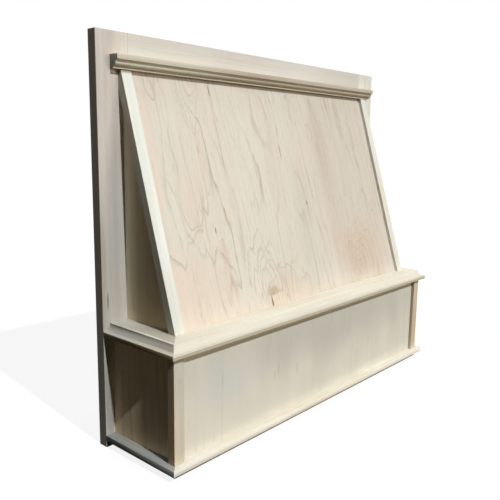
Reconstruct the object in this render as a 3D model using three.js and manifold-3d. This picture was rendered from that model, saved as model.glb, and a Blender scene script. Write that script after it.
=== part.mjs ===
// Wooden range hood cover: an unfinished maple hood front that hangs on the face of a wall cabinet.
// Millimetres. +Z is up, the front faces -Y and the wall side faces +Y. Heights are counted from the foot of
// the back frame, and at the end the whole part is moved so that its origin is where it hangs: the middle
// of the top rail's rear face.
import * as THREE from "three";
import { mergeVertices } from "three/addons/utils/BufferGeometryUtils.js";
import Module from "manifold-3d";

const wasm = await Module();
wasm.setup();

// ---- overall ----
const overallWidth = 762;
const overallHeight = 645;
const bodyDepth = 163.5; // from the face of the back frame to the front edge of the mantel
const frameThickness = 18.3;
const glueGap = 0.3; // left between pieces whose meeting faces aren't square to the axes

// ---- back frame ----
const stileWidth = 57.15;
const topRailHeight = 101.6;
const tenonLength = 12;
const tenonThickness = 6.4;
const tenonShoulder = 15;

// ---- moulded boards: the mantel shelf and the bottom ledge ----
const boardThickness = 19.05;
const ledgeBottom = 1.5;
const ledgeBoardWidth = 50.8;
const mantelBottom = 185.5;
const mantelBoardWidth = 76.2;
const mantelFillet = 6.8; // flat edge below the cove of the mantel
const mantelCoveReach = 12.5;
const mantelQuirk = 1.2;
const ledgeFillet = 9;
const ledgeCoveReach = 10.5;
const ledgeQuirk = 1;
const edgeProjection = 10.5; // how far the ledge stands out from the corner posts
const mitreGap = 0.21; // along X, which leaves about 0.15 mm across each side of a mitre
const planOver = 1; // how far a plan's cutting shape passes the board's faces
const coveSteps = 8;

// ---- boards and corner strips of the body ----
const panelThickness = 12.2;
const stripWidth = 19.4;
const stripDepth = 14;
const frontPanelRecess = 6.35;
const mantelSideReveal = 38.5; // top of the mantel that shows beside the upper body
const mantelFrontReveal = 38.9; // and in front of it
const slopeHeadSetback = 6.8; // from the frame's face to the front of the slope, under the trim
const sideTipDepth = 3; // depth left at the top of the tapered side boards

// ---- moulding under the top rail's edge ----
const trimBelowTop = 34.3; // from the top of the frame down to the moulding
const trimHeight = 20.3;
const trimOverhang = 14; // past the upper body at each end
const trimDepth = 18.6;
const trimLipDepth = 8.7;
const trimLipHeight = 2.4;
const trimQuirkDepth = 7.6;
const trimBeadReach = 6.8; // how far the bead swells out from the quirk
const trimBeadBottom = 3.2; // heights of the bead and of the small cove over it, from the lip's foot
const trimBeadTop = 8.6;
const trimCoveTop = 12.7;

// ---- cleats and screws inside ----
const cleatSize = 18;
const cleatLap = 4; // how far the base cleat's top is narrower than its height
const slopeCleatShort = 110.4; // from the trim's foot down to the end of the slope cleats
const screwHeadRadius = 4;
const screwRimHeight = 0.4;
const screwShankRadius = 2;
const screwHeadHeight = 2.6;
const screwLength = 34;
const screwTipLength = 5;
const screwClearance = 0.3;
const screwSunk = 0.5; // depth of the head below the wood's surface
const holeMouth = 2; // how far a hole's cutting shape stands out of the surface
const screwSegments = 20;
const crossSlotWidth = 1.1;
const crossSlotLength = 4.4;
const crossSlotDepth = 1.3;
const crossSlotOver = 1;
const frontScrewInset = 6.7; // from the mantel front board's inner edge
const frontScrewFromEnd = 113.1; // from the inner face of the upper side
const rearScrewDistance = 24; // from the frame's face
const sideScrewBehind = 21.3; // behind the mantel front board's inner edge
const frameScrewInset = 40; // from the ends of the lower side boards

// ---- derived places ----
const halfWidth = overallWidth / 2;
const overallDepth = frameThickness + bodyDepth;
const rearY = overallDepth / 2;
const faceY = rearY - frameThickness;
const frameInnerX = halfWidth - stileWidth;
const topRailBottom = overallHeight - topRailHeight;
const ledgeTop = ledgeBottom + boardThickness;
const mantelTop = mantelBottom + boardThickness;
const lowerHalfWidth = halfWidth - edgeProjection;
const lowerInnerX = lowerHalfWidth - stripWidth;
const lowerSideX = lowerInnerX + panelThickness;
const postFront = bodyDepth - edgeProjection;
const postBack = postFront - stripDepth;
const lowerPanelFront = postFront - frontPanelRecess;
const lowerPanelBack = lowerPanelFront - panelThickness;
const upperHalfWidth = halfWidth - mantelSideReveal;
const upperInnerX = upperHalfWidth - stripWidth;
const upperSideX = upperInnerX + panelThickness;
const trimTop = overallHeight - trimBelowTop;
const trimBottom = trimTop - trimHeight;
const trimHalfLength = upperHalfWidth + trimOverhang;
const slopeFootSetback = bodyDepth - mantelFrontReveal;
const slopeRun = (slopeFootSetback - slopeHeadSetback) / (trimBottom - mantelTop); // back per millimetre up
const slopeCos = 1 / Math.hypot(1, slopeRun);
const mantelFrontInner = bodyDepth - mantelBoardWidth;

const parts = new THREE.Group();
parts.name = "wooden_range_hood_cover";

// ---- helpers ----

// y of a point that stands a given distance in front of the frame's face
function ahead(distance) {
  return faceY - distance;
}

// distance ahead of the slope's front, or of a layer that lies a given depth behind it, at height z
function slopeAhead(z, depth) {
  return slopeFootSetback - depth / slopeCos - (z - mantelTop) * slopeRun;
}

// height at which a layer of the slope reaches a given distance ahead of the frame
function slopeHeight(distance, depth) {
  return mantelTop + (slopeFootSetback - depth / slopeCos - distance) / slopeRun;
}

function box(x0, x1, y0, y1, z0, z1) {
  const geometry = new THREE.BoxGeometry(Math.abs(x1 - x0), Math.abs(y1 - y0), Math.abs(z1 - z0));
  geometry.translate((x0 + x1) / 2, (y0 + y1) / 2, (z0 + z1) / 2);
  return geometry;
}

// a profile of [distance ahead, z] points, run along X from x0 to x1
function alongX(profile, x0, x1) {
  const shape = new THREE.Shape(profile.map(([d, z]) => new THREE.Vector2(ahead(d), z)));
  const geometry = new THREE.ExtrudeGeometry(shape, { depth: x1 - x0, bevelEnabled: false });
  const place = new THREE.Matrix4().set(0, 0, 1, x0, 1, 0, 0, 0, 0, 1, 0, 0, 0, 0, 0, 1);
  return geometry.applyMatrix4(place);
}

// a profile of [x, z] points, run from distance d0 to d1 ahead of the frame
function alongY(profile, d0, d1) {
  const shape = new THREE.Shape(profile.map(([x, z]) => new THREE.Vector2(x, z)));
  const geometry = new THREE.ExtrudeGeometry(shape, { depth: d1 - d0, bevelEnabled: false });
  const place = new THREE.Matrix4().set(1, 0, 0, 0, 0, 0, -1, ahead(d0), 0, 1, 0, 0, 0, 0, 0, 1);
  return geometry.applyMatrix4(place);
}

// a flat outline of [x, distance ahead] points, raised from z0 to z1
function upright(outline, z0, z1) {
  const shape = new THREE.Shape(outline.map(([x, d]) => new THREE.Vector2(x, ahead(d))));
  const geometry = new THREE.ExtrudeGeometry(shape, { depth: z1 - z0, bevelEnabled: false });
  return geometry.translate(0, 0, z0);
}

function mirrored(geometry) {
  const copy = geometry.index ? geometry.toNonIndexed() : geometry.clone();
  copy.scale(-1, 1, 1);
  const position = copy.getAttribute("position");
  for (let i = 0; i < position.count; i += 3) {
    const x = position.getX(i + 1);
    const y = position.getY(i + 1);
    const z = position.getZ(i + 1);
    position.setXYZ(i + 1, position.getX(i + 2), position.getY(i + 2), position.getZ(i + 2));
    position.setXYZ(i + 2, x, y, z);
  }
  return copy;
}

function toSolid(geometry) {
  const plain = geometry.clone();
  plain.deleteAttribute("normal");
  plain.deleteAttribute("uv");
  const merged = mergeVertices(plain, 1e-4);
  const mesh = new wasm.Mesh({
    numProp: 3,
    vertProperties: new Float32Array(merged.getAttribute("position").array),
    triVerts: new Uint32Array(merged.index.array),
  });
  return new wasm.Manifold(mesh);
}

function toGeometry(solid) {
  const mesh = solid.getMesh();
  const count = mesh.numVert;
  const positions = new Float32Array(count * 3);
  for (let i = 0; i < count; i++) {
    for (let k = 0; k < 3; k++) {
      positions[i * 3 + k] = mesh.vertProperties[i * mesh.numProp + k];
    }
  }
  const geometry = new THREE.BufferGeometry();
  geometry.setAttribute("position", new THREE.BufferAttribute(positions, 3));
  geometry.setIndex(new THREE.BufferAttribute(new Uint32Array(mesh.triVerts), 1));
  const flat = geometry.toNonIndexed();
  flat.computeVertexNormals();
  return flat;
}

function cut(geometry, tools) {
  let solid = toSolid(geometry);
  for (const tool of tools) {
    solid = solid.subtract(toSolid(tool));
  }
  return toGeometry(solid);
}

function join(geometries) {
  let solid = toSolid(geometries[0]);
  for (const other of geometries.slice(1)) {
    solid = solid.add(toSolid(other));
  }
  return toGeometry(solid);
}

function common(first, second) {
  return toGeometry(toSolid(first).intersect(toSolid(second)));
}

function add(name, geometry, colour) {
  const material = new THREE.MeshStandardMaterial({ color: colour, roughness: 0.7, metalness: 0 });
  const mesh = new THREE.Mesh(geometry, material);
  mesh.name = name;
  parts.add(mesh);
}

const maple = 0xe0cba4;
const veneer = 0xdcc39a;
const cleatWood = 0xcdb188;
const steel = 0xb9bcc0;

// ---- screws ----

// a turned shape about the Z axis, head up at z = 0 and tip down
function screwBody() {
  const outline = [
    [0, -screwLength],
    [screwShankRadius, -screwLength + screwTipLength],
    [screwShankRadius, -screwHeadHeight],
    [screwHeadRadius, -screwRimHeight],
    [screwHeadRadius, 0],
    [0, 0],
  ].map(([r, z]) => new THREE.Vector2(r, z));
  const turned = new THREE.LatheGeometry(outline, screwSegments);
  turned.rotateX(Math.PI / 2);
  const long = crossSlotLength / 2;
  const thin = crossSlotWidth / 2;
  const slots = [
    box(-long, long, -thin, thin, -crossSlotDepth, crossSlotOver),
    box(-thin, thin, -long, long, -crossSlotDepth, crossSlotOver),
  ];
  return cut(turned, slots);
}

// the hole that a screw turns into, a little larger all round, its mouth cut through the surface
function screwHole() {
  const r = screwShankRadius + screwClearance;
  const head = screwHeadRadius + screwClearance;
  const outline = [
    [0, -screwLength - screwClearance],
    [r, -screwLength + screwTipLength],
    [r, -screwHeadHeight - screwClearance],
    [head, -screwRimHeight - screwClearance],
    [head, holeMouth],
    [0, holeMouth],
  ].map(([radius, z]) => new THREE.Vector2(radius, z));
  const turned = new THREE.LatheGeometry(outline, screwSegments);
  return turned.rotateX(Math.PI / 2);
}

// screws up through the mantel boards into the cleats that stand on them: [name, x, distance ahead]
const frontScrewX = upperInnerX - frontScrewFromEnd;
const frontScrewDistance = mantelFrontInner + frontScrewInset;
const sideScrewX = upperInnerX - cleatSize / 2;
const sideScrewDistance = mantelFrontInner - sideScrewBehind;
const mantelScrews = [
  ["mantel_screw_front_left", -frontScrewX, frontScrewDistance],
  ["mantel_screw_front_centre", 0, frontScrewDistance],
  ["mantel_screw_front_right", frontScrewX, frontScrewDistance],
  ["mantel_screw_left_rear", -sideScrewX, rearScrewDistance],
  ["mantel_screw_left_front", -sideScrewX, sideScrewDistance],
  ["mantel_screw_right_rear", sideScrewX, rearScrewDistance],
  ["mantel_screw_right_front", sideScrewX, sideScrewDistance],
];

// screws through the back of the stiles into the ends of the lower side boards: [name, side, z]
const lowerScrewZ = ledgeTop + frameScrewInset;
const upperScrewZ = mantelBottom - frameScrewInset;
const frameScrews = [
  ["frame_screw_left_lower", -1, lowerScrewZ],
  ["frame_screw_left_upper", -1, upperScrewZ],
  ["frame_screw_right_lower", 1, lowerScrewZ],
  ["frame_screw_right_upper", 1, upperScrewZ],
];

function placeMantelScrew(geometry, x, distance) {
  return geometry.clone().rotateX(Math.PI).translate(x, ahead(distance), mantelBottom + screwSunk);
}

function placeFrameScrew(geometry, side, z) {
  const x = side * (lowerInnerX + panelThickness / 2);
  return geometry.clone().rotateX(-Math.PI / 2).translate(x, rearY - screwSunk, z);
}

const mantelHoles = mantelScrews.map(([, x, d]) => placeMantelScrew(screwHole(), x, d));
const frameHoles = frameScrews.map(([, side, z]) => placeFrameScrew(screwHole(), side, z));
const leftFrameHoles = frameHoles.slice(0, 2);
const rightFrameHoles = frameHoles.slice(2, 4);

function addScrews() {
  for (const [name, x, distance] of mantelScrews) {
    add(name, placeMantelScrew(screwBody(), x, distance), steel);
  }
  for (const [name, side, z] of frameScrews) {
    add(name, placeFrameScrew(screwBody(), side, z), steel);
  }
}

// ---- back frame ----

function tenon(side, grow) {
  const x0 = side * (frameInnerX - grow);
  const x1 = side * (frameInnerX + tenonLength + grow);
  const mid = (rearY + faceY) / 2;
  const half = tenonThickness / 2;
  return box(x0, x1, mid - half, mid + half, topRailBottom + tenonShoulder, overallHeight - tenonShoulder);
}

function addBackFrame() {
  const left = box(-halfWidth, -frameInnerX, faceY, rearY, 0, overallHeight);
  const right = box(frameInnerX, halfWidth, faceY, rearY, 0, overallHeight);
  add("back_stile_left", cut(left, [tenon(-1, glueGap), ...leftFrameHoles]), maple);
  add("back_stile_right", cut(right, [tenon(1, glueGap), ...rightFrameHoles]), maple);
  const rail = box(-frameInnerX, frameInnerX, faceY, rearY, topRailBottom, overallHeight);
  const tongue = box(
    -frameInnerX - tenonLength,
    frameInnerX + tenonLength,
    (rearY + faceY) / 2 - tenonThickness / 2,
    (rearY + faceY) / 2 + tenonThickness / 2,
    topRailBottom + tenonShoulder,
    overallHeight - tenonShoulder,
  );
  add("back_top_rail", join([rail, tongue]), maple);
}

// ---- moulding across the top ----

function topTrimProfile() {
  const beadBottom = trimBottom + trimBeadBottom;
  const beadTop = trimBottom + trimBeadTop;
  const coveTop = trimBottom + trimCoveTop;
  const beadFront = trimQuirkDepth + trimBeadReach;
  const profile = [
    [0, trimBottom],
    [trimLipDepth, trimBottom],
    [trimLipDepth, trimBottom + trimLipHeight],
    [trimQuirkDepth, beadBottom],
  ];
  for (let i = 1; i <= coveSteps; i++) {
    const turn = (i / coveSteps) * (Math.PI / 2);
    const reach = trimQuirkDepth + trimBeadReach * Math.sin(turn);
    profile.push([reach, beadBottom + (beadTop - beadBottom) * (1 - Math.cos(turn))]);
  }
  for (let i = 1; i <= coveSteps; i++) {
    const turn = (i / coveSteps) * (Math.PI / 2);
    const reach = beadFront + (trimDepth - beadFront) * (1 - Math.cos(turn));
    profile.push([reach, beadTop + (coveTop - beadTop) * Math.sin(turn)]);
  }
  profile.push([trimDepth, trimTop]);
  profile.push([0, trimTop]);
  return profile;
}

function addTopTrim() {
  add("top_trim_moulding", alongX(topTrimProfile(), -trimHalfLength, trimHalfLength), maple);
}

// ---- moulded boards with mitred corners ----

// cross-section of the mantel board, [distance in from its outer edge, z], cove above the flat edge
function mantelSection(width) {
  const section = [
    [width, mantelBottom],
    [0, mantelBottom],
    [0, mantelBottom + mantelFillet],
  ];
  const rise = boardThickness - mantelFillet - mantelQuirk;
  for (let i = 1; i <= coveSteps; i++) {
    const turn = (i / coveSteps) * (Math.PI / 2);
    section.push([mantelCoveReach * Math.sin(turn), mantelTop - mantelQuirk - rise * Math.cos(turn)]);
  }
  section.push([mantelCoveReach, mantelTop]);
  section.push([width, mantelTop]);
  return section;
}

// cross-section of the ledge board, its cove below the flat edge
function ledgeSection(width) {
  const section = [
    [width, ledgeTop],
    [0, ledgeTop],
    [0, ledgeTop - ledgeFillet],
  ];
  const drop = boardThickness - ledgeFillet - ledgeQuirk;
  for (let i = 1; i <= coveSteps; i++) {
    const turn = (i / coveSteps) * (Math.PI / 2);
    section.push([ledgeCoveReach * Math.sin(turn), ledgeBottom + ledgeQuirk + drop * Math.cos(turn)]);
  }
  section.push([ledgeCoveReach, ledgeBottom]);
  section.push([width, ledgeBottom]);
  return section;
}

// plan of a front board: square behind, mitred at both ends
function frontPlan(width) {
  const inner = bodyDepth - width;
  return [
    [-halfWidth + mitreGap, bodyDepth],
    [-halfWidth + width + mitreGap, inner],
    [halfWidth - width - mitreGap, inner],
    [halfWidth - mitreGap, bodyDepth],
  ];
}

// plan of a right-hand side board: square against the frame, mitred in front
function rightPlan(width) {
  const inner = bodyDepth - width;
  return [
    [halfWidth - width, 0],
    [halfWidth, 0],
    [halfWidth, bodyDepth],
    [halfWidth - width, inner],
  ];
}

function frontBoard(section, width, z0, z1) {
  const profile = section(width).map(([u, z]) => [bodyDepth - u, z]);
  const plan = upright(frontPlan(width), z0 - planOver, z1 + planOver);
  return common(alongX(profile, -halfWidth, halfWidth), plan);
}

function rightBoard(section, width, z0, z1) {
  const profile = section(width).map(([u, z]) => [halfWidth - u, z]);
  const plan = upright(rightPlan(width), z0 - planOver, z1 + planOver);
  return common(alongY(profile, 0, bodyDepth), plan);
}

function addMantel() {
  const front = frontBoard(mantelSection, mantelBoardWidth, mantelBottom, mantelTop);
  const right = rightBoard(mantelSection, mantelBoardWidth, mantelBottom, mantelTop);
  add("mantel_front", cut(front, mantelHoles.slice(0, 3)), maple);
  add("mantel_return_left", cut(mirrored(right), mantelHoles.slice(3, 5)), maple);
  add("mantel_return_right", cut(right, mantelHoles.slice(5, 7)), maple);
}

function addBottomLedge() {
  const right = rightBoard(ledgeSection, ledgeBoardWidth, ledgeBottom, ledgeTop);
  add("bottom_ledge_front", frontBoard(ledgeSection, ledgeBoardWidth, ledgeBottom, ledgeTop), maple);
  add("bottom_ledge_left", mirrored(right), maple);
  add("bottom_ledge_right", right, maple);
}

// ---- lower box ----

function addLowerBox() {
  const z0 = ledgeTop;
  const z1 = mantelBottom;
  const side = box(lowerInnerX, lowerSideX, ahead(0), ahead(postBack), z0, z1);
  const leftSide = box(-lowerSideX, -lowerInnerX, ahead(0), ahead(postBack), z0, z1);
  add("lower_side_left", cut(leftSide, leftFrameHoles), veneer);
  add("lower_side_right", cut(side, rightFrameHoles), veneer);
  const post = box(lowerInnerX, lowerHalfWidth, ahead(postBack), ahead(postFront), z0, z1);
  add("corner_post_left", mirrored(post), maple);
  add("corner_post_right", post, maple);
  const panel = box(-lowerInnerX, lowerInnerX, ahead(lowerPanelBack), ahead(lowerPanelFront), z0, z1);
  add("lower_front_panel", panel, veneer);
}

// ---- upper sloped body ----

function addUpperBody() {
  const tipZ = slopeHeight(sideTipDepth, stripDepth + glueGap);
  const side = [
    [0, mantelTop],
    [slopeAhead(mantelTop, stripDepth + glueGap), mantelTop],
    [sideTipDepth, tipZ],
    [0, tipZ],
  ];
  const sideBoard = alongX(side, upperInnerX, upperSideX);
  add("upper_side_left", mirrored(sideBoard), veneer);
  add("upper_side_right", sideBoard, veneer);

  const strip = [
    [slopeAhead(mantelTop, stripDepth), mantelTop],
    [slopeAhead(mantelTop, 0), mantelTop],
    [slopeAhead(trimBottom, 0), trimBottom],
    [0, trimBottom],
    [0, slopeHeight(0, stripDepth)],
  ];
  const slopeStrip = alongX(strip, upperInnerX, upperHalfWidth);
  add("slope_stile_left", mirrored(slopeStrip), maple);
  add("slope_stile_right", slopeStrip, maple);

  const back = frontPanelRecess + panelThickness;
  const panel = [
    [slopeAhead(mantelTop, back), mantelTop],
    [slopeAhead(mantelTop, frontPanelRecess), mantelTop],
    [slopeAhead(trimBottom, frontPanelRecess), trimBottom],
    [0, trimBottom],
    [0, slopeHeight(0, back)],
  ];
  add("slope_front_panel", alongX(panel, -upperInnerX, upperInnerX), veneer);
}

// ---- cleats inside ----

function addUpperCleats() {
  const behind = frontPanelRecess + panelThickness + glueGap;
  const frontBack = slopeAhead(mantelTop + cleatSize, behind) - cleatSize + cleatLap;
  const base = [
    [frontBack, mantelTop],
    [slopeAhead(mantelTop, behind), mantelTop],
    [slopeAhead(mantelTop + cleatSize, behind), mantelTop + cleatSize],
    [frontBack, mantelTop + cleatSize],
  ];
  const baseFront = alongX(base, -upperInnerX, upperInnerX);
  add("base_cleat_front", cut(baseFront, mantelHoles.slice(0, 3)), cleatWood);
  const sideX = upperInnerX - cleatSize;
  const baseLeft = box(-upperInnerX, -sideX, ahead(0), ahead(frontBack), mantelTop, mantelTop + cleatSize);
  const baseRight = box(sideX, upperInnerX, ahead(0), ahead(frontBack), mantelTop, mantelTop + cleatSize);
  add("base_cleat_left", cut(baseLeft, mantelHoles.slice(3, 5)), cleatWood);
  add("base_cleat_right", cut(baseRight, mantelHoles.slice(5, 7)), cleatWood);

  const footZ = mantelTop + cleatSize;
  const headZ = trimBottom - slopeCleatShort;
  const slope = [
    [slopeAhead(footZ, behind + cleatSize), footZ],
    [slopeAhead(footZ, behind), footZ],
    [slopeAhead(headZ, behind), headZ],
    [slopeAhead(headZ, behind + cleatSize), headZ],
  ];
  const slopeCleat = alongX(slope, sideX, upperInnerX);
  add("slope_cleat_left", mirrored(slopeCleat), cleatWood);
  add("slope_cleat_right", slopeCleat, cleatWood);
}

function addCleatRing(prefix, z0, z1) {
  const sideX = lowerInnerX - cleatSize;
  const frontBack = lowerPanelBack - cleatSize;
  const front = box(-lowerInnerX, lowerInnerX, ahead(frontBack), ahead(lowerPanelBack), z0, z1);
  const left = box(-lowerInnerX, -sideX, ahead(0), ahead(frontBack), z0, z1);
  const right = box(sideX, lowerInnerX, ahead(0), ahead(frontBack), z0, z1);
  add(prefix + "_front", front, cleatWood);
  add(prefix + "_left", left, cleatWood);
  add(prefix + "_right", right, cleatWood);
}

function addLowerCleats() {
  addCleatRing("mantel_cleat", mantelBottom - cleatSize, mantelBottom);
  addCleatRing("liner_cleat", ledgeTop, ledgeTop + cleatSize);
  const sideX = lowerInnerX - cleatSize;
  const frontBack = lowerPanelBack - cleatSize;
  const z0 = ledgeTop + cleatSize;
  const z1 = mantelBottom - cleatSize;
  const left = box(-lowerInnerX, -sideX, ahead(frontBack), ahead(lowerPanelBack), z0, z1);
  const right = box(sideX, lowerInnerX, ahead(frontBack), ahead(lowerPanelBack), z0, z1);
  add("corner_block_left", left, cleatWood);
  add("corner_block_right", right, cleatWood);
}

addBackFrame();
addTopTrim();
addMantel();
addBottomLedge();
addLowerBox();
addUpperBody();
addUpperCleats();
addLowerCleats();
addScrews();
parts.position.set(0, -rearY, -(topRailBottom + topRailHeight / 2));

export default parts;
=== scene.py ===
# Wooden range hood cover in unfinished maple: timber finishes, fine mouldings, light and camera
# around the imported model.
import math

import bpy
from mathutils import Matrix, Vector


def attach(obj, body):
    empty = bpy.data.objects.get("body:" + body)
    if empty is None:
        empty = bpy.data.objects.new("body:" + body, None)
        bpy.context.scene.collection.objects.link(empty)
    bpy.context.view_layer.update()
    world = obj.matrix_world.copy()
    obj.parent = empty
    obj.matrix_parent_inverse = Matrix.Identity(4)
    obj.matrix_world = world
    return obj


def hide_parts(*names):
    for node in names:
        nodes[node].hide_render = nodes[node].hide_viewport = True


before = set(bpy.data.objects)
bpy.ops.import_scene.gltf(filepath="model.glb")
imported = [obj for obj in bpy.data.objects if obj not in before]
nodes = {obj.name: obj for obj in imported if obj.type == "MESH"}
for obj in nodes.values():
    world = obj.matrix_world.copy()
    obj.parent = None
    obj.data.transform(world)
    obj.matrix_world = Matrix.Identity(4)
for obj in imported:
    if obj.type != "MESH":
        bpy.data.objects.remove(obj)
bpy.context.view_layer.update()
print("frame loaded:", len(nodes), "nodes")

mm = 0.001


def linearColour(hexText):  # by the sRGB curve
    channels = [int(hexText[i:i + 2], 16) / 255 for i in (1, 3, 5)]
    return [c / 12.92 if c <= 0.04045 else ((c + 0.055) / 1.055) ** 2.4 for c in channels] + [1.0]


def deselectAll():
    if bpy.context.object and bpy.context.object.mode != "OBJECT":
        bpy.ops.object.mode_set(mode="OBJECT")
    bpy.ops.object.select_all(action="DESELECT")


def emptyMaterial(name):
    material = bpy.data.materials.new(name)
    material.use_nodes = True
    material.node_tree.nodes.clear()
    return material, material.node_tree


def addNode(tree, kind, sockets=None, **settings):
    node = tree.nodes.new(kind)
    for key, value in settings.items():
        setattr(node, key, value)
    for key, value in (sockets or {}).items():
        if isinstance(value, bpy.types.NodeSocket):
            tree.links.new(value, node.inputs[key])
        else:
            node.inputs[key].default_value = value
    return node


def addRamp(tree, factor, stops):  # stops are (position, grey)
    ramp = addNode(tree, "ShaderNodeValToRGB", {"Fac": factor})
    elements = ramp.color_ramp.elements
    while len(elements) < len(stops):
        elements.new(0.5)
    for element, (position, grey) in zip(elements, stops):
        element.position = position
        element.color = (grey, grey, grey, 1.0)
    return ramp.outputs["Color"]


def vectorMath(tree, operation, *values, output=0):
    sockets = dict(enumerate(values))
    return addNode(tree, "ShaderNodeVectorMath", sockets, operation=operation).outputs[output]


def calculate(tree, operation, *values):
    return addNode(tree, "ShaderNodeMath", dict(enumerate(values)), operation=operation).outputs[0]


def mapRange(tree, value, fromMin, fromMax, toMin, toMax):
    sockets = {0: value, 1: fromMin, 2: fromMax, 3: toMin, 4: toMax}
    return addNode(tree, "ShaderNodeMapRange", sockets, interpolation_type="SMOOTHSTEP").outputs[0]


def mixColours(tree, factor, first, second, blend="MIX"):
    sockets = {0: factor, 6: first, 7: second}
    return addNode(tree, "ShaderNodeMix", sockets, data_type="RGBA", blend_type=blend).outputs[2]


# How a piece's grain is turned onto the pattern's own Z axis, in degrees about X, Y, Z.
grainTurns = {
    "up": (0, 0, 0),
    "across": (0, -90, 0),
    "back": (90, 0, 0),
    "slope": (16.98, 0, 0),  # as far as the sloped front leans back
    "side": (0, 0, 90),
}

# Solid maple, planed and sanded: pale, with a thin brown line at each year ring. Lengths are in
# millimetres. A half length of 2000 or 3000 reaches past both ends of a board.
mapleDefaults = {
    "grain": "up",
    "shift": (0, 0, 0),  # moves the pattern's own axes onto the piece
    "seed": 1.0,
    "pith": (60, 140),  # centre of the year rings, across the face and behind it
    "spread": 1.0,  # under 1 where the sheet was cut along the rings, so that they open out
    "taper": 0.0,  # how much the trunk narrows per millimetre up, which draws arches
    "ringWidth": 4.0,  # drawn wider than maple's 2 mm, so that rings show in the render
    "warp": 7.0,
    "warpAcross": 70.0,
    "warpAlong": 330.0,
    "ripple": 0.8,
    "rippleAcross": 15.0,
    "rippleAlong": 60.0,
    # where the rings close round a bump of the trunk: across, along, half width, half length,
    # height, how plainly
    "swirls": [],
    "pale": "#E6DCC8",
    "warm": "#E3D0B8",
    "ring": "#C9B291",
    "ringStrength": 0.5,
    "ringLine": 0.3,  # dark share of a ring
    "yearTint": 0.0,  # how far whole years differ in colour
    "streak": 0.05,
    "fleck": 0.22,
    "endGrain": 0.7,
    "roughness": 0.8,
    # soft areas of another colour, of the wood's own tone and also of painted light and shade:
    # across, along, half width, half length, strength, colour
    "tintsAndPaintedLight": [],
    # the same, but with the jagged dark rim of a year laid open: an arch, or a V if its half
    # length is negative
    "patches": [],
    # knots, mineral streaks and painted shade lines: across, along, half width, half length,
    # strength, colour
    "spots": [],
    "dashes": 0.0,  # short dark strokes in groups
    "dashSize": (2.2, 26),
    "sawn": 0.0,
}

# Finer patterns that all timbers share: millimetres across and along the grain, what is added to
# the piece's seed, then the noise's detail and roughness.
finePatterns = {
    "fading": {"size": (30, 110), "seedStep": 2, "detail": 3.0, "roughness": 0.5},
    "cloud": {"size": (75, 260), "seedStep": 3, "detail": 2.0, "roughness": 0.5},
    "fibre": {"size": (1.1, 70), "seedStep": 4, "detail": 3.0, "roughness": 0.6},
    "band": {"size": (7, 240), "seedStep": 5, "detail": 2.0, "roughness": 0.5},
    "fleck": {"size": (1.2, 16), "seedStep": 6, "detail": 1.0, "roughness": 0.5},
    "sawTooth": {"size": (40, 1.5), "seedStep": 7, "detail": 1.0, "roughness": 0.5},
    "jag": {"size": (26, 260), "seedStep": 8, "detail": 3.0, "roughness": 0.34},
    "dashGroup": {"size": (38, 130), "seedStep": 10, "detail": 2.0, "roughness": 0.5},
}
wanderDetail = 1.5
rippleDetail = 2.0
dashPattern = {"seedStep": 9, "detail": 2.0}
seedShift = (371, 117, 539)  # how far one whole seed moves a pattern, in millimetres

# The level at which each pattern starts and the level at which it is full.
patternLevels = {
    "fading": (0.4, 0.6),
    "cloud": (0.38, 0.64),
    "shade": (0.35, 0.65),
    "fleck": (0.64, 0.76),
    "dash": (0.6, 0.7),
    "dashGroup": (0.44, 0.58),
    "swirlTip": (-0.4, 0.3),
    "swirlReach": (0.5, 1.2),
    "tintAndPaintedLight": (0.2, 1.0),
    "patch": (0.7, 1.0),
    "patchTip": (-1.0, 0.2),
    "rimTip": (-0.1, 0.4),
    "spot": (0.35, 1.25),
    "endGrain": (0.6, 0.95),
}
# How far a soft edge strays in all, where 1 is the half width of its area.
edgeWander = {"tintAndPaintedLight": 0.8, "patch": 1.4, "spot": 0.8}
lineShares = {
    "faded": 0.1,  # what is left of a ring line where it fades
    "weakestYear": 0.25,
    "rimFaded": 0.28,
    "rimPlain": 0.7,
    "strayDash": 0.05,
    "groove": 0.4,  # how deep a ring line lies beside the fibres
}
yearTintOffset = 0.5  # so that a year's tint and the strength of its line don't go together
ringShape = [(1.5, 0.05), (0.7, 0.7), (0.35, 1.0)]  # dark shares before the ring's end, darkness
rimShape = [(0.9, 0.0), (0.965, 0.7), (0.985, 1.0), (1.0, 0.0)]
timberSurface = {"bumpStrength": 0.35, "bumpHeight": 0.00008, "ior": 1.5, "specular": 0.05}


def grainField(tree, place, size, seed, detail, roughness=0.5):
    across, along = size
    shift = tuple(seed * step for step in seedShift)
    moved = vectorMath(tree, "ADD", place, shift)
    scaled = vectorMath(tree, "MULTIPLY", moved, (1 / across, 1 / across, 1 / along))
    sockets = {"Vector": scaled, "Scale": 1.0, "Detail": detail, "Roughness": roughness}
    return addNode(tree, "ShaderNodeTexNoise", sockets).outputs[0]


def finePattern(tree, place, look, name):
    pattern = finePatterns[name]
    seed = look["seed"] + pattern["seedStep"]
    return grainField(tree, place, pattern["size"], seed, pattern["detail"], pattern["roughness"])


def spotDistance(tree, place, across, along, halfWidth, halfLength):
    away = vectorMath(tree, "SUBTRACT", place, (across, 0, along))
    flat = vectorMath(tree, "MULTIPLY", away, (1 / halfWidth, 0, 1 / halfLength))
    return vectorMath(tree, "LENGTH", flat, output="Value")


def sideAlong(tree, place, across, along, halfLength):  # 1 at the tip of an arch, -1 at its foot
    away = vectorMath(tree, "SUBTRACT", place, (across, 0, along))
    return vectorMath(tree, "DOT_PRODUCT", away, (0, 0, 1 / halfLength), output="Value")


def ragged(tree, distance, field, amount):  # lets a soft edge stray with a noise field
    centred = calculate(tree, "SUBTRACT", distance, amount / 2)
    return calculate(tree, "MULTIPLY_ADD", field, amount, centred)


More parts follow.
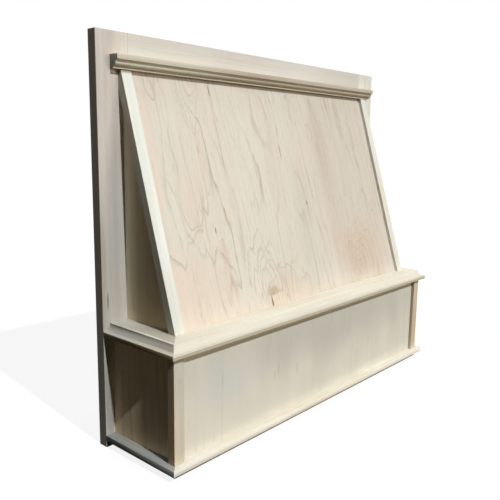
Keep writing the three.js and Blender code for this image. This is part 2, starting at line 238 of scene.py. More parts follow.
def trunkFields(tree, place, look):
    # distance from the pith, wandering slowly along the trunk and rippling finely; noise runs
    # from 0 to 1, so twice a size makes plus or minus that size
    pithX, pithY = look["pith"]
    seed = look["seed"]
    centred = vectorMath(tree, "SUBTRACT", place, (pithX, pithY, 0))
    flat = vectorMath(tree, "MULTIPLY", centred, (1, 1, 0))
    radius = vectorMath(tree, "LENGTH", flat, output="Value")
    rise = vectorMath(tree, "DOT_PRODUCT", place, (0, 0, look["taper"]), output="Value")
    radius = calculate(tree, "MULTIPLY_ADD", radius, look["spread"], rise)
    wander = grainField(tree, place, (look["warpAcross"], look["warpAlong"]), seed, wanderDetail)
    rippleSize = (look["rippleAcross"], look["rippleAlong"])
    ripple = grainField(tree, place, rippleSize, seed + 1, rippleDetail)
    radius = calculate(tree, "MULTIPLY_ADD", wander, look["warp"] * 2, radius)
    radius = calculate(tree, "MULTIPLY_ADD", ripple, look["ripple"] * 2, radius)
    broken = finePattern(tree, place, look, "fading")
    broken = mapRange(tree, broken, *patternLevels["fading"], lineShares["faded"], 1.0)
    for across, along, halfWidth, halfLength, height, plain in look["swirls"]:
        distance = spotDistance(tree, place, across, along, halfWidth, halfLength)
        radius = calculate(tree, "ADD", radius, mapRange(tree, distance, 0.0, 1.0, height, 0.0))
        side = sideAlong(tree, place, across, along, halfLength)
        near = mapRange(tree, side, *patternLevels["swirlTip"], 0.0, plain)
        reach = mapRange(tree, distance, *patternLevels["swirlReach"], 1.0, 0.0)
        near = calculate(tree, "MULTIPLY", near, reach)
        broken = calculate(tree, "MAXIMUM", broken, near)
    return radius, broken, wander, ripple


def ringLines(tree, radius, broken, look):
    rings = calculate(tree, "DIVIDE", radius, look["ringWidth"])
    part = calculate(tree, "FRACT", rings)
    year = calculate(tree, "FLOOR", rings)
    stops = [(1 - look["ringLine"] * before, grey) for before, grey in ringShape]
    line = addRamp(tree, part, [(0.0, 0.0)] + stops + [(1.0, 0.0)])
    each = addNode(tree, "ShaderNodeTexWhiteNoise", {"W": year}, noise_dimensions="1D")
    strong = mapRange(tree, each.outputs["Value"], 0.0, 1.0, lineShares["weakestYear"], 1.0)
    lines = calculate(tree, "MULTIPLY", calculate(tree, "MULTIPLY", line, strong), broken)
    return calculate(tree, "MULTIPLY", lines, look["ringStrength"]), year


def groundColour(tree, place, look, year, wander):
    # soft warm areas, whole years in another tint, then the tints and the painted light and shade
    cloud = finePattern(tree, place, look, "cloud")
    cloud = mapRange(tree, cloud, *patternLevels["cloud"], 0.0, 1.0)
    otherYear = calculate(tree, "ADD", year, yearTintOffset)
    tint = addNode(tree, "ShaderNodeTexWhiteNoise", {"W": otherYear}, noise_dimensions="1D")
    sockets = {0: look["yearTint"], 2: cloud, 3: tint.outputs["Value"]}
    cloud = addNode(tree, "ShaderNodeMix", sockets).outputs[0]
    colour = mixColours(tree, cloud, linearColour(look["pale"]), linearColour(look["warm"]))
    for across, along, halfWidth, halfLength, strength, tintAndLightColour in look["tintsAndPaintedLight"]:
        distance = spotDistance(tree, place, across, along, halfWidth, halfLength)
        distance = ragged(tree, distance, wander, edgeWander["tintAndPaintedLight"])
        amount = mapRange(tree, distance, *patternLevels["tintAndPaintedLight"], strength, 0.0)
        colour = mixColours(tree, amount, colour, linearColour(tintAndLightColour))
    return colour


def addPatches(tree, place, look, colour, lines, broken):
    # years laid open, each with its own colour and a dark rim on the side of its tip
    if not look["patches"]:
        return colour, lines
    jagged = finePattern(tree, place, look, "jag")
    whole = mapRange(tree, broken, 0.0, 1.0, lineShares["rimFaded"], lineShares["rimPlain"])
    for across, along, halfWidth, halfLength, strength, patchColour in look["patches"]:
        distance = spotDistance(tree, place, across, along, halfWidth, halfLength)
        distance = ragged(tree, distance, jagged, edgeWander["patch"])
        side = sideAlong(tree, place, across, along, halfLength)
        inside = mapRange(tree, distance, *patternLevels["patch"], strength, 0.0)
        tip = mapRange(tree, side, *patternLevels["patchTip"], 0.0, 1.0)
        inside = calculate(tree, "MULTIPLY", inside, tip)
        colour = mixColours(tree, inside, colour, linearColour(patchColour))
        rim = addRamp(tree, distance, rimShape)
        rim = calculate(tree, "MULTIPLY", rim, whole)
        rim = calculate(tree, "MULTIPLY", rim, look["ringStrength"])
        tip = mapRange(tree, side, *patternLevels["rimTip"], 0.0, 1.0)
        rim = calculate(tree, "MULTIPLY", rim, tip)
        lines = calculate(tree, "MAXIMUM", lines, rim)
    return colour, lines


def addFigure(tree, place, look, colour, lines, ripple):
    # ring lines, long fibres, short ray flecks, dashes, then knots, mineral streaks and painted
    # shade lines
    ringColour = linearColour(look["ring"])
    colour = mixColours(tree, lines, colour, ringColour)
    fibres = finePattern(tree, place, look, "fibre")
    bands = finePattern(tree, place, look, "band")
    halfFibres = calculate(tree, "MULTIPLY", fibres, 0.5)
    shade = calculate(tree, "ADD", halfFibres, calculate(tree, "MULTIPLY", bands, 0.5))
    shade = mapRange(tree, shade, *patternLevels["shade"], 1 - look["streak"] * 2, 1.0)
    colour = mixColours(tree, 1.0, colour, shade, "MULTIPLY")
    flecks = finePattern(tree, place, look, "fleck")
    flecks = mapRange(tree, flecks, *patternLevels["fleck"], 0.0, look["fleck"])
    colour = mixColours(tree, flecks, colour, ringColour, "MULTIPLY")
    if look["dashes"]:
        seed = look["seed"] + dashPattern["seedStep"]
        strokes = grainField(tree, place, look["dashSize"], seed, dashPattern["detail"])
        groups = finePattern(tree, place, look, "dashGroup")
        strokes = mapRange(tree, strokes, *patternLevels["dash"], 0.0, look["dashes"])
        groups = mapRange(tree, groups, *patternLevels["dashGroup"], lineShares["strayDash"], 1.0)
        dashes = calculate(tree, "MULTIPLY", strokes, groups)
        colour = mixColours(tree, dashes, colour, ringColour)
    for across, along, halfWidth, halfLength, strength, spotColour in look["spots"]:
        distance = spotDistance(tree, place, across, along, halfWidth, halfLength)
        distance = ragged(tree, distance, ripple, edgeWander["spot"])
        amount = mapRange(tree, distance, *patternLevels["spot"], strength, 0.0)
        colour = mixColours(tree, amount, colour, linearColour(spotColour))
    return colour, fibres


def timberMaterial(name, **changes):
    look = {**mapleDefaults, **changes}
    material, tree = emptyMaterial(name)
    coordinates = addNode(tree, "ShaderNodeTexCoord")
    turn = [math.radians(a) for a in grainTurns[look["grain"]]]
    place = addNode(tree, "ShaderNodeMapping", {
        "Vector": coordinates.outputs["Object"],
        "Location": look["shift"],
        "Rotation": turn,
        "Scale": (1 / mm,) * 3,  # metres to millimetres
    }).outputs[0]

    radius, broken, wander, ripple = trunkFields(tree, place, look)
    lines, year = ringLines(tree, radius, broken, look)
    colour = groundColour(tree, place, look, year, wander)
    colour, lines = addPatches(tree, place, look, colour, lines, broken)
    colour, fibres = addFigure(tree, place, look, colour, lines, ripple)

    # end grain drinks the light: darker where the surface cuts the fibres across
    normal = addNode(tree, "ShaderNodeMapping", {
        "Vector": coordinates.outputs["Normal"], "Rotation": turn,
    }, vector_type="NORMAL").outputs[0]
    facing = vectorMath(tree, "DOT_PRODUCT", normal, (0, 0, 1), output="Value")
    facing = calculate(tree, "ABSOLUTE", facing)
    ends = mapRange(tree, facing, *patternLevels["endGrain"], 1.0, look["endGrain"])
    colour = mixColours(tree, 1.0, colour, ends, "MULTIPLY")

    grooves = calculate(tree, "MULTIPLY", lines, lineShares["groove"])
    height = calculate(tree, "SUBTRACT", fibres, grooves)
    if look["sawn"]:
        # marks of the saw blade, across the grain and a few millimetres apart
        teeth = finePattern(tree, place, look, "sawTooth")
        height = calculate(tree, "MULTIPLY_ADD", teeth, look["sawn"], height)
    bump = addNode(tree, "ShaderNodeBump", {
        "Strength": timberSurface["bumpStrength"],
        "Distance": timberSurface["bumpHeight"],
        "Height": height,
    })
    shader = addNode(tree, "ShaderNodeBsdfPrincipled", {
        "Base Color": colour,
        "Roughness": look["roughness"],
        "IOR": timberSurface["ior"],
        "Specular IOR Level": timberSurface["specular"],
        "Normal": bump.outputs[0],
    })
    addNode(tree, "ShaderNodeOutputMaterial", {"Surface": shader.outputs[0]})
    return material


# Steel wire screw, zinc plated: a bluish grey metal with a soft shine and small cloudy crystals.
zincValues = {
    "dark": "#9BA0A6", "light": "#C3C7CB", "crystalScale": 900.0, "crystalDetail": 3.0,
    "crystalLevels": (0.3, 0.7), "roughness": (0.28, 0.42),
}


def zincMaterial(name):
    material, tree = emptyMaterial(name)
    coordinates = addNode(tree, "ShaderNodeTexCoord")
    crystals = addNode(tree, "ShaderNodeTexNoise", {
        "Vector": coordinates.outputs["Object"],
        "Scale": zincValues["crystalScale"],
        "Detail": zincValues["crystalDetail"],
    }).outputs[0]
    dark, light = linearColour(zincValues["dark"]), linearColour(zincValues["light"])
    colour = mixColours(tree, crystals, dark, light)
    roughness = mapRange(tree, crystals, *zincValues["crystalLevels"], *zincValues["roughness"])
    shader = addNode(tree, "ShaderNodeBsdfPrincipled", {
        "Base Color": colour, "Metallic": 1.0, "Roughness": roughness,
    })
    addNode(tree, "ShaderNodeOutputMaterial", {"Surface": shader.outputs[0]})
    return material


def dress(name, material):
    piece = nodes[name]
    piece.data.materials.clear()
    piece.data.materials.append(material)


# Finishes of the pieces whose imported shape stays.
knotBrown = "#8A6A4C"
mineralBrown = "#6E4F3A"

boardFinishes = {
    "back_stile_left": {
        "seed": 1.3, "pith": (-350, 90), "ringWidth": 5, "warp": 6, "pale": "#E1DDD7",
        "warm": "#DFD7CD",
        "tintsAndPaintedLight": [
            # the second and fourth areas darken the left side face and its edge: painted shade
            (-350, -350, 80, 430, 1.0, "#C9C4B9"), (-379, -305, 9, 110, 0.75, "#B5A799"),
            (-368, -10, 40, 140, 0.9, "#D3CBC3"), (-382.5, 0, 3, 3000, 1.0, "#B4A798"),
            # the last area, pale low beside the lower box, is painted light where the mantel's
            # shadow falls on the stile
            (-372, -510, 16, 150, 0.75, "#9E9A90"), (-352, -475, 24, 85, 1.0, "#F4E6CC"),
        ],
        "spots": [(-371, -355, 1.5, 15, 0.75, mineralBrown)],
    },
    "back_stile_right": {
        "seed": 2.1, "pith": (330, 120), "ringWidth": 5, "pale": "#E4E6DF", "warm": "#E0DDD2",
    },
    "back_top_rail": {
        "seed": 3.7, "grain": "across", "pith": (-60, 90), "ringWidth": 5, "pale": "#DBD8CF",
        "warm": "#D7D0C6", "ring": "#C4B8A5", "ringLine": 0.2, "streak": 0.03,
        "tintsAndPaintedLight": [(0, 330, 90, 260, 1.0, "#CDC9BF")],
    },
    "slope_stile_left": {
        "seed": 4.2, "grain": "slope", "pith": (-300, 260), "ringWidth": 6, "pale": "#E7E9E1",
        "warm": "#E6E6DC", "ring": "#D0CBBA", "ringStrength": 0.3,
        "tintsAndPaintedLight": [
            # the second area darkens the left side face: painted shade; the third, along the top
            # under the trim's lip, is a painted shadow
            (-330, -400, 60, 150, 0.8, "#D7D5CB"), (-344, 200, 3, 2000, 1.0, "#A89A7F"),
            (-335, -12, 3000, 6, 0.9, "#8C8474"),
        ],
    },
    "slope_stile_right": {
        "seed": 5.4, "grain": "slope", "pith": (360, 260), "ringWidth": 6, "pale": "#E0E2D8",
        "warm": "#DEDACC", "ring": "#D0CBBA", "ringStrength": 0.3,
    },
    "corner_post_left": {
        "seed": 6.6, "pith": (-340, 60), "ringWidth": 4, "pale": "#D4CDBA", "warm": "#D0C4AC",
        # the second area darkens and warms the left side face: painted shade
        "tintsAndPaintedLight": [(-356, -425, 60, 80, 0.9, "#C9C5B9"), (-372, -500, 3, 2000, 1.0, "#CBB08A")],
    },
    "corner_post_right": {
        "seed": 7.9, "pith": (390, 60), "ringWidth": 4, "pale": "#CFC3AB", "warm": "#C8B799",
    },
}

for nodeName, look in boardFinishes.items():
    dress(nodeName, timberMaterial("sandedMaple_" + nodeName, **look))
print("solid maple boards finished")

# Maple-veneered plywood: a sheet peeled or sliced round the rings, so that they open out into
# wide, wandering cathedral figures with pinkish clouds between them.
veneerFinishes = {
    "slope_front_panel": {
        "seed": 8.15, "grain": "slope", "shift": (0, 16.5, 412.5), "pith": (-700, 55),
        "spread": 0.4, "taper": 0.02, "ringWidth": 9.0, "warp": 24, "warpAcross": 62,
        "warpAlong": 300, "ripple": 3.0, "rippleAcross": 7, "rippleAlong": 60,
        "swirls": [
            (-112, 45, 58, 95, 30, 0.6), (-20, 20, 34, 70, 14, 0.4), (-104, 16, 26, 30, 16, 0.4),
            (190, 44, 64, 90, 30, 0.7), (-205, 400, 36, 90, 18, 0.5), (-268, 150, 30, 120, 8, 0.3),
        ],
        "pale": "#D7D3C5", "warm": "#D8CFC0", "ring": "#93816A", "ringStrength": 0.6,
        "ringLine": 0.18, "yearTint": 0.4, "streak": 0.03, "fleck": 0.2, "dashes": 0.35,
        "tintsAndPaintedLight": [
            (230, 200, 300, 480, 0.75, "#C9C0B3"), (129, 300, 32, 160, 0.5, "#C1B2A5"),
            (25, 90, 30, 200, 0.3, "#C9C1B4"), (-290, 400, 70, 70, 0.5, "#D6CBC1"),
            (205, 70, 130, 90, 0.65, "#CFBDAA"), (-320, 250, 26, 230, 0.6, "#DCC8B8"),
            # the first area below, grey along the top under the trim, is a painted shadow
            (0, 410, 700, 26, 0.8, "#C3BDB6"), (-30, 60, 130, 110, 0.45, "#CFC9BA"),
            # the second area below and the one after it darken the panel's foot: painted shade
            (-310, 50, 60, 110, 0.5, "#DCC9B8"), (160, -8, 200, 26, 0.4, "#C9B59C"),
            (-180, -8, 260, 28, 0.45, "#D3BFAA"),
        ],
        "patches": [
            (-198, 425, 16, -54, 0.15, "#D6CBC1"), (-212, 420, 34, -92, 0.1, "#D6CBC1"),
            (-290, 425, 14, -60, 0.2, "#D6CBC1"), (-290, 36, 112, 92, 0.5, "#DCCBBC"),
            (-256, 244, 36, -106, 0.1, "#DBC9B8"), (-252, 212, 25, -62, 0.4, "#DBC9B8"),
            (-120, 30, 46, 98, 0.1, "#D6CDBE"), (-116, 14, 36, 84, 0.1, "#D6CDBE"),
            (-112, 0, 27, 68, 0.1, "#D6CDBE"), (-63, 4, 66, 54, 0.5, "#D5C2B1"),
            (278, 215, 24, -66, 0.1, "#D6CDBE"), (190, 52, 58, 66, 0.35, "#C9B8A7"),
            (182, 34, 40, 50, 0.25, "#C4AE9A"), (190, 22, 22, 32, 0.25, "#BBA48C"),
            (-200, 88, 8, 44, 0.4, "#CDB29C"), (-208, 285, 8, -70, 0.4, "#D7C6B5"),
        ],
        "spots": [
            (-211, 145, 1.6, 6, 0.75, knotBrown), (-109, 6, 2.8, 16, 0.95, knotBrown),
            (-101, 27, 17, 9, 0.5, "#A88862"), (-106, 21, 9, 4, 0.4, "#9C7A58"),
            (-84, 24, 5, 4, 0.3, "#9C7A58"), (-66, 12, 2, 5, 0.45, "#9C7A58"),
            (-160, 384, 1.6, 13, 0.7, mineralBrown), (-160, 300, 1.2, 90, 0.4, "#A08A6C"),
            (2, 318, 1.3, 16, 0.6, knotBrown), (-1, 280, 1.4, 20, 0.6, knotBrown),
            (49, 176, 3, 6, 0.5, knotBrown), (-213, 281, 1.6, 9, 0.5, "#B4866A"),
        ],
    },
    "lower_front_panel": {
        "seed": 9.35, "pith": (-700, 300), "ringWidth": 38, "warp": 40, "warpAcross": 70,
        "warpAlong": 320, "ripple": 3, "rippleAcross": 9, "pale": "#D0CCBE", "warm": "#DAD5C6",
        "ring": "#A5A192", "ringStrength": 0.2, "ringLine": 0.12, "yearTint": 0.3, "streak": 0.006,
        "fleck": 0.08, "dashes": 0.3, "dashSize": (5.5, 46),
        "tintsAndPaintedLight": [
            (-280, -560, 180, 120, 0.4, "#DCD6C6"), (40, -430, 560, 100, 0.85, "#BCB9AE"),
            # the last area below, lighter and warmer in the band under the mantel, is painted
            # light in its shadow
            (-250, -480, 110, 60, 0.5, "#CACBC8"), (0, -416, 3000, 8, 1.0, "#D8CCB8"),
        ],
    },
    "upper_side_left": {
        "seed": 10.2, "grain": "side", "pith": (-200, 420), "ringWidth": 6, "pale": "#D4C6A8",
        "warm": "#CDBA96",
        # lighter along the rear of the board: painted light
        "tintsAndPaintedLight": [(12, -290, 42, 270, 1.0, "#F8EED4")],
    },
    "upper_side_right": {
        "seed": 11.4, "grain": "side", "pith": (-200, -420), "ringWidth": 6, "pale": "#D4C6A8",
        "warm": "#CDBA96",
    },
    "lower_side_left": {
        "seed": 12.6, "grain": "side", "pith": (-200, 420), "ringWidth": 6, "pale": "#F8E6C4",
        "warm": "#F0DAB2",
    },
    "lower_side_right": {
        "seed": 13.8, "grain": "side", "pith": (-200, -420), "ringWidth": 6, "pale": "#F0E0C3",
        "warm": "#E8D4B0",
    },
}

for nodeName, look in veneerFinishes.items():
    dress(nodeName, timberMaterial("sandedMapleVeneer_" + nodeName, **look))
print("veneered panels finished")

# Spruce, sawn and left rough: yellower, with plain orange-brown summer growth and the marks of
# the saw.
cleatValues = {
    "pith": (40, -210), "warp": 3.0, "ringWidth": 5.5, "pale": "#DCC79C", "warm": "#D3B988",
    "ring": "#A9824F", "ringStrength": 0.75, "fleck": 0.0, "sawn": 1.6,
}
cleatFirstSeed = 20.0
cleatGrains = {
    "across": ["base_cleat_front", "mantel_cleat_front", "liner_cleat_front"],
    "back": ["base_cleat_left", "base_cleat_right", "mantel_cleat_left", "mantel_cleat_right",
             "liner_cleat_left", "liner_cleat_right"],
    "up": ["corner_block_left", "corner_block_right"],
    "slope": ["slope_cleat_left", "slope_cleat_right"],
}
for grain, names in cleatGrains.items():
    seed = cleatFirstSeed + len(names)
    sawn = timberMaterial("sawnSpruce_" + grain, grain=grain, seed=seed, **cleatValues)
    for nodeName in names:
        dress(nodeName, sawn)

zinc = zincMaterial("zincPlatedSteel")
for nodeName in nodes:
    if "_screw_" in nodeName:
        dress(nodeName, zinc)
print("cleats and screws finished")

# Every edge has had sandpaper over it: a small rounding that catches the light. A screw's is
# finer.
easing = {"width": 0.6, "screwWidth": 0.15, "segments": 2, "sharpAngle": 30.0, "weld": 0.01}
for nodeName, piece in nodes.items():
    weld = piece.modifiers.new("weld", "WELD")
    weld.merge_threshold = easing["weld"] * mm
    bevel = piece.modifiers.new("easedEdges", "BEVEL")
    bevel.width = easing["screwWidth" if "_screw_" in nodeName else "width"] * mm
    bevel.segments = easing["segments"]
    bevel.limit_method = "ANGLE"
    bevel.angle_limit = math.radians(easing["sharpAngle"])
print("edges eased")


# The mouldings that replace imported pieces, with their coves drawn in full. Sizes are in
# millimetres, and heights count from the foot of the back frame, which is at floorZ.
sizes = {
    "halfWidth": 381.0, "faceY": -18.3, "frontY": -181.8, "floorZ": -594.2,
    "mantelBottom": 185.5, "ledgeBottom": 1.5, "board": 19.05,
    "trimBottom": 590.4, "trimTop": 610.7,
}
mouldingDetail = {
    "curveSteps": 20, "easedWidth": 0.35, "easedSegments": 2, "sharpAngle": 30.0,
    "smoothAngle": 24.0, "mitreGap": 0.1,  # each side of a mitre
}


def quarter(centreX, centreZ, reachX, reachZ, startAngle, endAngle):
    points = []
    for step in range(1, mouldingDetail["curveSteps"] + 1):
        share = (endAngle - startAngle) * step / mouldingDetail["curveSteps"]
        angle = math.radians(startAngle + share)
        points.append((centreX + reachX * math.cos(angle), centreZ + reachZ * math.sin(angle)))
    return points


def sweepMoulding(name, outline, toPlace, run, cuts):
    # The outline is drawn corner by corner and closed, then drawn out to length, and its ends are
    # sawn to the mitre.
    deselectAll()
    corners = [Vector(toPlace(u, z)) * mm for u, z in outline]
    bpy.ops.mesh.primitive_plane_add(size=mm, location=corners[0])
    piece = bpy.context.object
    piece.name = piece.data.name = name
    bpy.ops.object.mode_set(mode="EDIT")
    bpy.ops.mesh.select_all(action="SELECT")
    bpy.ops.mesh.merge(type="CENTER")
    for before, after in zip(corners, corners[1:]):
        bpy.ops.mesh.extrude_region_move(TRANSFORM_OT_translate={"value": after - before})
    bpy.ops.mesh.select_all(action="SELECT")
    bpy.ops.mesh.edge_face_add()
    bpy.ops.mesh.extrude_region_move(TRANSFORM_OT_translate={"value": Vector(run) * mm})
    for point, away in cuts:
        place = Vector(point) * mm
        bpy.ops.mesh.select_all(action="SELECT")
        bpy.ops.mesh.bisect(plane_co=place, plane_no=away, use_fill=True, clear_outer=True)
    bpy.ops.mesh.select_all(action="SELECT")
    bpy.ops.mesh.normals_make_consistent(inside=False)
    bpy.ops.object.mode_set(mode="OBJECT")
    bpy.ops.object.transform_apply(location=True, rotation=True, scale=True)
    bevel = piece.modifiers.new("easedEdges", "BEVEL")
    bevel.width = mouldingDetail["easedWidth"] * mm
    bevel.segments = mouldingDetail["easedSegments"]
    bevel.limit_method = "ANGLE"
    bevel.angle_limit = math.radians(mouldingDetail["sharpAngle"])
    bpy.ops.object.modifier_apply(modifier=bevel.name)
    bpy.ops.object.shade_smooth_by_angle(angle=math.radians(mouldingDetail["smoothAngle"]))
    return piece


def finishMoulding(piece, nodeName, look):
    piece.data.materials.append(timberMaterial("sandedMaple_" + piece.name, **look))
    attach(piece, "root")
    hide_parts(nodeName)


# The mantel's edge: a flat below, a cove above it, and a small quirk under the top. The ledge has
# its flat above and its cove below.
mantelEdge = {"width": 76.2, "flat": 6.8, "coveReach": 12.5, "quirk": 1.2}
ledgeEdge = {"width": 50.8, "flat": 9.0, "coveReach": 10.5, "quirk": 1.0}


def mantelOutline():
    bottom = sizes["mantelBottom"] + sizes["floorZ"]
    top = bottom + sizes["board"]
    rise = sizes["board"] - mantelEdge["flat"] - mantelEdge["quirk"]
    outline = [(mantelEdge["width"], bottom), (0, bottom), (0, bottom + mantelEdge["flat"])]
    outline += quarter(0, top - mantelEdge["quirk"], mantelEdge["coveReach"], rise, -90, 0)
    return outline + [(mantelEdge["coveReach"], top), (mantelEdge["width"], top)]


def ledgeOutline():
    bottom = sizes["ledgeBottom"] + sizes["floorZ"]
    top = bottom + sizes["board"]
    drop = sizes["board"] - ledgeEdge["flat"] - ledgeEdge["quirk"]
    outline = [(ledgeEdge["width"], top), (0, top), (0, top - ledgeEdge["flat"])]
    outline += quarter(0, bottom + ledgeEdge["quirk"], ledgeEdge["coveReach"], drop, 90, 0)
    return outline + [(ledgeEdge["coveReach"], bottom), (ledgeEdge["width"], bottom)]


def mitredBoards(prefix, nodeNames, outline, looks):
    half, frontY, faceY = sizes["halfWidth"], sizes["frontY"], sizes["faceY"]
    gap = mouldingDetail["mitreGap"]
    root = math.sqrt(0.5)  # each part of a direction that points 45 degrees between two axes
    front = sweepMoulding(
        prefix + "Front", outline, lambda u, z: (-half, frontY + u, z), (2 * half, 0, 0),
        [((-half + gap, frontY, 0), (-root, root, 0)), ((half - gap, frontY, 0), (root, root, 0))],
    )
    left = sweepMoulding(
        prefix + "Left", outline, lambda u, z: (-half + u, faceY, z), (0, frontY - faceY, 0),
        [((-half, frontY + gap, 0), (root, -root, 0))],
    )
    right = sweepMoulding(
        prefix + "Right", outline, lambda u, z: (half - u, faceY, z), (0, frontY - faceY, 0),
        [((half, frontY + gap, 0), (-root, -root, 0))],
    )
    for piece, nodeName, look in zip((front, left, right), nodeNames, looks):
        finishMoulding(piece, nodeName, look)


mantelNodes = ["mantel_front", "mantel_return_left", "mantel_return_right"]
mantelFinishes = [
    {
        "seed": 14.1, "grain": "across", "pith": (60, -60), "pale": "#ECE7D6", "warm": "#E7DFCB",
        "ring": "#CDC0A6", "ringStrength": 0.25,
        # the cove and the flat below it are darker, with a grey line along the flat: painted shade
        "tintsAndPaintedLight": [(398, 0, 7, 3000, 0.9, "#D6D1C2"), (407, 0, 6, 3000, 1.0, "#CFC8B4")],
        "spots": [(405, 0, 1.6, 3000, 0.5, "#A39A80")],
    },
    {
        # greyer than the right-hand return: painted shade
        "seed": 15.3, "grain": "back", "pith": (-330, 420), "pale": "#BEBBAD", "warm": "#B9B29F",
        "ring": "#9E9681",
        "tintsAndPaintedLight": [
            # the cove lighter and warmer, a bright line along the top's outer edge, dark on the
            # outer flat: painted light, highlight and shade
            (-377, -100, 5, 3000, 0.8, "#D6CDB9"), (-366.6, -100, 3.0, 3000, 1.0, "#EFE9D9"),
            (-381, -100, 1.2, 3000, 1.0, "#86775A"), (-350, -20, 60, 80, 0.7, "#D2CFC2"),
        ],
    },
    {
        "seed": 16.8, "grain": "back", "pith": (330, 420), "pale": "#EBE5D3", "warm": "#E6DABF",
        "ring": "#D2C3A0",
    },
]
ledgeNodes = ["bottom_ledge_front", "bottom_ledge_left", "bottom_ledge_right"]
ledgeFinishes = [
    {
        "seed": 17.2, "grain": "across", "pith": (60, -60), "pale": "#F2EDE0", "warm": "#ECE4D2",
        # dark olive over the cove under the front edge: painted shade
        "ring": "#CDBF9E", "tintsAndPaintedLight": [(593, 0, 9, 3000, 0.9, "#8A7C62")],
    },
    {
        # greyer than the right-hand ledge: painted shade
        "seed": 18.5, "grain": "back", "pith": (-330, 420), "pale": "#A3A6A3", "warm": "#A4A298",
        "ring": "#8B877E",
    },
    {
        "seed": 19.6, "grain": "back", "pith": (330, 420), "pale": "#EAE5D2", "warm": "#E5DABD",
        "ring": "#CDBF9E",
    },
]
mitredBoards("mantel", mantelNodes, mantelOutline(), mantelFinishes)
mitredBoards("ledge", ledgeNodes, ledgeOutline(), ledgeFinishes)
print("mantel and ledge mouldings made")

# The strip under the top rail: a square fillet over a cove, a bead, a quirk and a thin lip.
trimEdge = {
    "halfLength": 356.5, "depth": 18.6, "lip": 8.7, "lipHeight": 2.4, "quirk": 7.6, "bead": 6.8,
    "beadBottom": 3.2, "beadTop": 8.6, "coveTop": 12.7,
}
trimFinish = {
    "seed": 21.7, "grain": "across", "pith": (20, 200), "pale": "#BFB4A2", "warm": "#BCAF9A",
    "ring": "#A6967F", "ringStrength": 0.25, "endGrain": 0.45,
    "tintsAndPaintedLight": [
        # lighter at the left end and darker towards the right: painted light falling off along the
        # strip; lighter along the lip: a painted highlight
        (-6, 330, 60, 420, 0.9, "#C4BAAB"), (-6, -356, 60, 280, 0.95, "#D9D4C1"),
        (2.6, 0, 2.5, 3000, 0.8, "#DBCFB9"),
    ],
}


def trimOutline():
    foot = sizes["trimBottom"] + sizes["floorZ"]
    top = sizes["trimTop"] + sizes["floorZ"]
    depth, quirk = trimEdge["depth"], trimEdge["quirk"]
    beadMiddle = foot + trimEdge["beadTop"]  # the bead ends and the cove starts here
    beadHeight = trimEdge["beadTop"] - trimEdge["beadBottom"]
    coveReach = depth - (quirk + trimEdge["bead"])
    coveHeight = trimEdge["coveTop"] - trimEdge["beadTop"]
    outline = [
        (0, foot), (trimEdge["lip"], foot), (trimEdge["lip"], foot + trimEdge["lipHeight"]),
        (quirk, foot + trimEdge["beadBottom"]),
    ]
    outline += quarter(quirk, beadMiddle, trimEdge["bead"], beadHeight, -90, 0)
    outline += quarter(depth, beadMiddle, coveReach, coveHeight, 180, 90)
    return outline + [(depth, top), (0, top)]


trim = sweepMoulding(
    "topTrim", trimOutline(), lambda u, z: (-trimEdge["halfLength"], sizes["faceY"] - u, z),
    (2 * trimEdge["halfLength"], 0, 0), [],
)
finishMoulding(trim, "top_trim_moulding", trimFinish)
print("top trim made")


def seenByCamera(tree):  # 1 where the camera looks, also by a reflection or through glass
    rays = addNode(tree, "ShaderNodeLightPath")
    seen = calculate(tree, "MAXIMUM", rays.outputs["Is Camera Ray"], rays.outputs["Is Glossy Ray"])
    return calculate(tree, "MAXIMUM", seen, rays.outputs["Is Transmission Ray"])


# Pale paper underfoot. What the camera sees of it is near white, but it throws little light back.
stageValues = {
    "size": 12.0, "bounce": (0.045, 0.036, 0.022, 1), "cameraGrey": 0.17, "cameraGlow": 0.86,
}
deselectAll()
floorPlace = (0, 0, sizes["floorZ"] * mm)
bpy.ops.mesh.primitive_plane_add(size=stageValues["size"], location=floorPlace)
floor = bpy.context.object
floor.name = "floor"
bpy.ops.object.transform_apply(location=True)
floorMaterial, tree = emptyMaterial("palePaper")
seen = seenByCamera(tree)
grey = (stageValues["cameraGrey"],) * 3 + (1,)
bounce = addNode(tree, "ShaderNodeBsdfDiffuse", {"Color": stageValues["bounce"]})
paper = addNode(tree, "ShaderNodeBsdfDiffuse", {"Color": grey})
glow = addNode(tree, "ShaderNodeEmission", {"Strength": stageValues["cameraGlow"]})
lit = addNode(tree, "ShaderNodeAddShader", {0: paper.outputs[0], 1: glow.outputs[0]})
sockets = {0: seen, 1: bounce.outputs[0], 2: lit.outputs[0]}
mixed = addNode(tree, "ShaderNodeMixShader", sockets)
addNode(tree, "ShaderNodeOutputMaterial", {"Surface": mixed.outputs[0]})
floor.data.materials.append(floorMaterial)

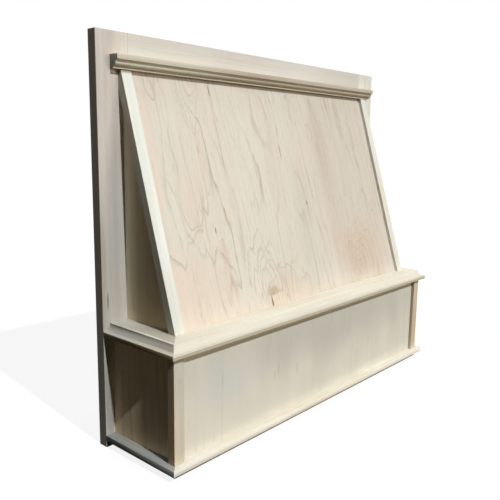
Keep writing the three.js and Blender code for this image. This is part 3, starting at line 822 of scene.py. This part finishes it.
lightValues = {
    "key": {
        "toward": (0.095, 1.0, -0.93), "strength": 2.85, "softness": 1.5,
        "colour": (0.93, 0.955, 1.0),
    },
    "front": {
        "toward": (-0.45, 1.0, -0.2), "strength": 1.05, "softness": 25.0,
        "colour": (1.0, 0.89, 0.7),
    },
    "top": {
        "toward": (0.0, 0.05, -1.0), "strength": 0.7, "softness": 22.0,
        "colour": (1.0, 1.0, 1.0),
    },
    "back": {
        "toward": (-0.45, -0.9, -0.45), "strength": 0.9, "softness": 25.0,
        "colour": (1.0, 1.0, 1.0),
    },
}
for lampName, values in lightValues.items():
    lamp = bpy.data.lights.new(lampName + "Light", "SUN")
    lamp.energy = values["strength"]
    lamp.angle = math.radians(values["softness"])
    lamp.color = values["colour"]
    holder = bpy.data.objects.new(lampName + "Light", lamp)
    holder.rotation_euler = Vector(values["toward"]).to_track_quat("-Z", "Y").to_euler()
    bpy.context.scene.collection.objects.link(holder)

skyValues = {"colour": (0.86, 0.93, 1.0), "strength": 0.024}

world = bpy.data.worlds.new("studio")
bpy.context.scene.world = world
world.use_nodes = True
tree = world.node_tree
tree.nodes.clear()
seen = seenByCamera(tree)
sky = addNode(tree, "ShaderNodeBackground", {
    "Color": skyValues["colour"] + (1,), "Strength": skyValues["strength"],
})
white = addNode(tree, "ShaderNodeBackground", {"Color": (1, 1, 1, 1), "Strength": 1.0})
mixed = addNode(tree, "ShaderNodeMixShader", {0: seen, 1: sky.outputs[0], 2: white.outputs[0]})
addNode(tree, "ShaderNodeOutputWorld", {"Surface": mixed.outputs[0]})

cameraValues = {
    "place": (-0.906505, -0.790793, -0.114207),  # fitted to corners measured on the photograph
    "turn": (80.29078, -0.734505, -48.10982),
    "lens": 43.6545,
    "sensor": 36.0,
}
cameraData = bpy.data.cameras.new("camera")
cameraData.lens = cameraValues["lens"]
cameraData.sensor_width = cameraValues["sensor"]
camera = bpy.data.objects.new("camera", cameraData)
camera.location = cameraValues["place"]
camera.rotation_euler = [math.radians(a) for a in cameraValues["turn"]]
bpy.context.scene.collection.objects.link(camera)
bpy.context.scene.camera = camera
bpy.context.scene.view_settings.view_transform = "Standard"
print("stage, light and camera set")
